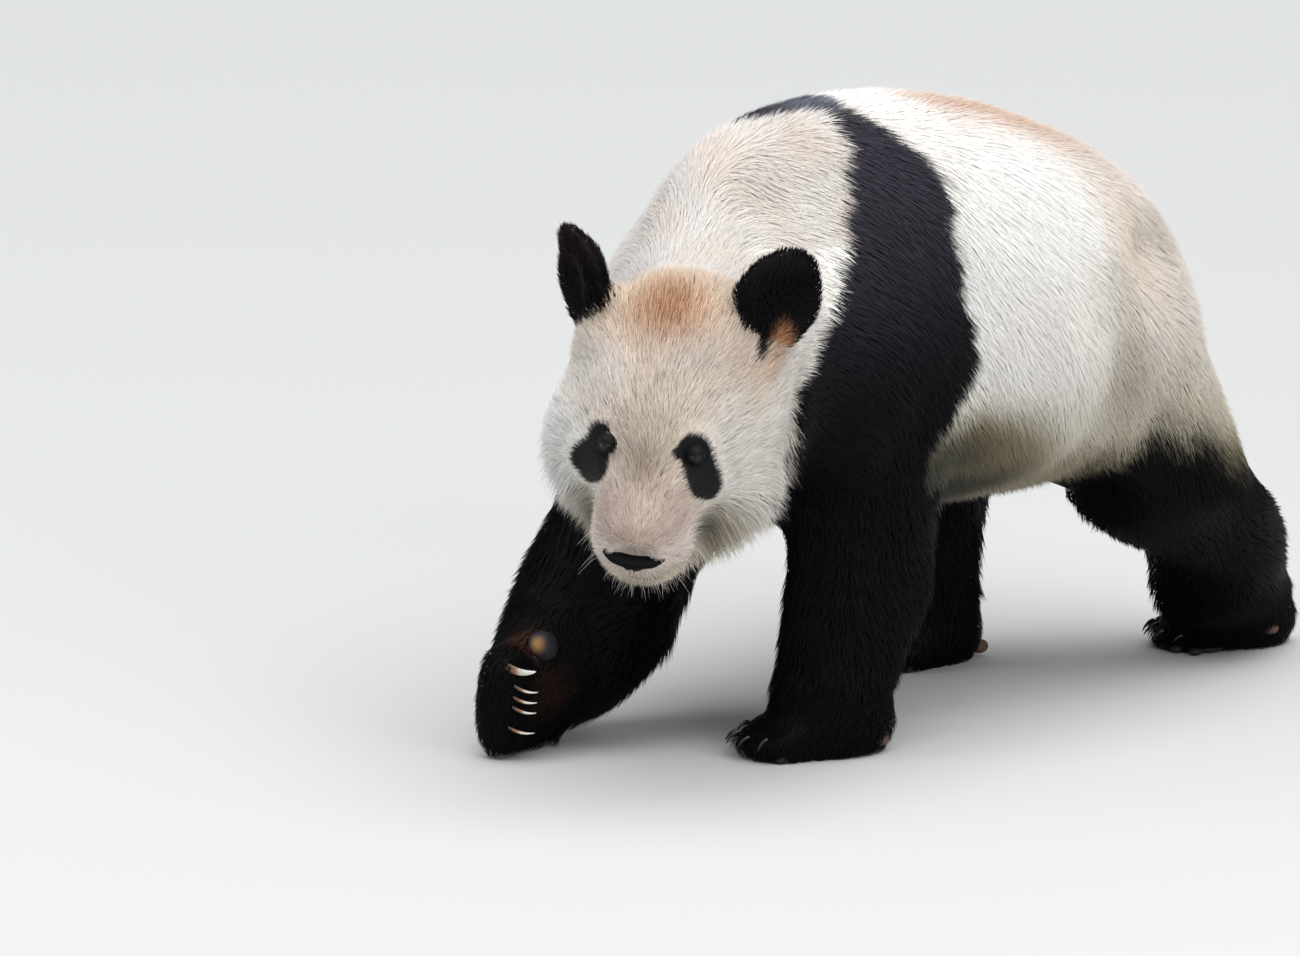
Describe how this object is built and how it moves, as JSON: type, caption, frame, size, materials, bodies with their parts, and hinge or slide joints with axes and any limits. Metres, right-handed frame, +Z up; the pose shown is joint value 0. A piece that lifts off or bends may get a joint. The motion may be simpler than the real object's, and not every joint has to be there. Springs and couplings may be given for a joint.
{
  "type": "giant panda",
  "caption": "Life-size still model of a walking giant panda: head low and turned to its left, right forepaw just landing, left hind leg trailing.",
  "frame": {"origin": "middle of the whole animal's box seen from above, on the floor under its feet", "axes": "+Z up; the animal walks towards -Y; its left side is +X"},
  "size_m": [0.5464, 1.4412, 0.7866],
  "materials": {
    "white_coat": "dense cream-white fur, matt, with tan and orange tints on crown, forehead and rump",
    "black_coat": "dense black fur with a soft blue-grey sheen where it faces the light",
    "eye": "dark brown, wet and glossy",
    "nose": "black bare skin, damp, satin",
    "claw": "ivory horn, brown at the root, satin",
    "pad": "grey bare pad skin, matt"
  },
  "bodies": {
    "root": {"lower_jaw": "white_coat", "head": "white_coat", "forepaw_right": "black_coat", "forepaw_left": "black_coat", "hindfoot_left": "black_coat", "hindfoot_right": "black_coat", "neck": "white_coat", "forearm_right": "black_coat", "forearm_left": "black_coat", "shoulder_right": "black_coat", "shoulder_left": "black_coat", "shank_left": "black_coat", "shank_right": "black_coat", "thigh_left": "white_coat", "thigh_right": "white_coat", "chest": "black_coat", "loin": "white_coat", "rump": "white_coat", "eye_left": "eye", "eye_right": "eye", "nose": "nose", "ear_left": "black_coat", "ear_right": "black_coat", "tail": "white_coat", "claw_forepaw_left_1": "claw", "claw_forepaw_left_2": "claw", "claw_forepaw_left_3": "claw", "claw_forepaw_left_4": "claw", "claw_forepaw_left_5": "claw", "claw_hindfoot_left_1": "claw", "claw_hindfoot_left_2": "claw", "claw_hindfoot_left_3": "claw", "claw_hindfoot_left_4": "claw", "claw_hindfoot_left_5": "claw", "claw_hindfoot_right_1": "claw", "claw_hindfoot_right_2": "claw", "claw_hindfoot_right_3": "claw", "claw_hindfoot_right_4": "claw", "claw_hindfoot_right_5": "claw", "claw_forepaw_right_1": "claw", "claw_forepaw_right_2": "claw", "claw_forepaw_right_3": "claw", "claw_forepaw_right_4": "claw", "claw_forepaw_right_5": "claw", "thumb_pad_right": "pad"}
  },
  "joints": []
}
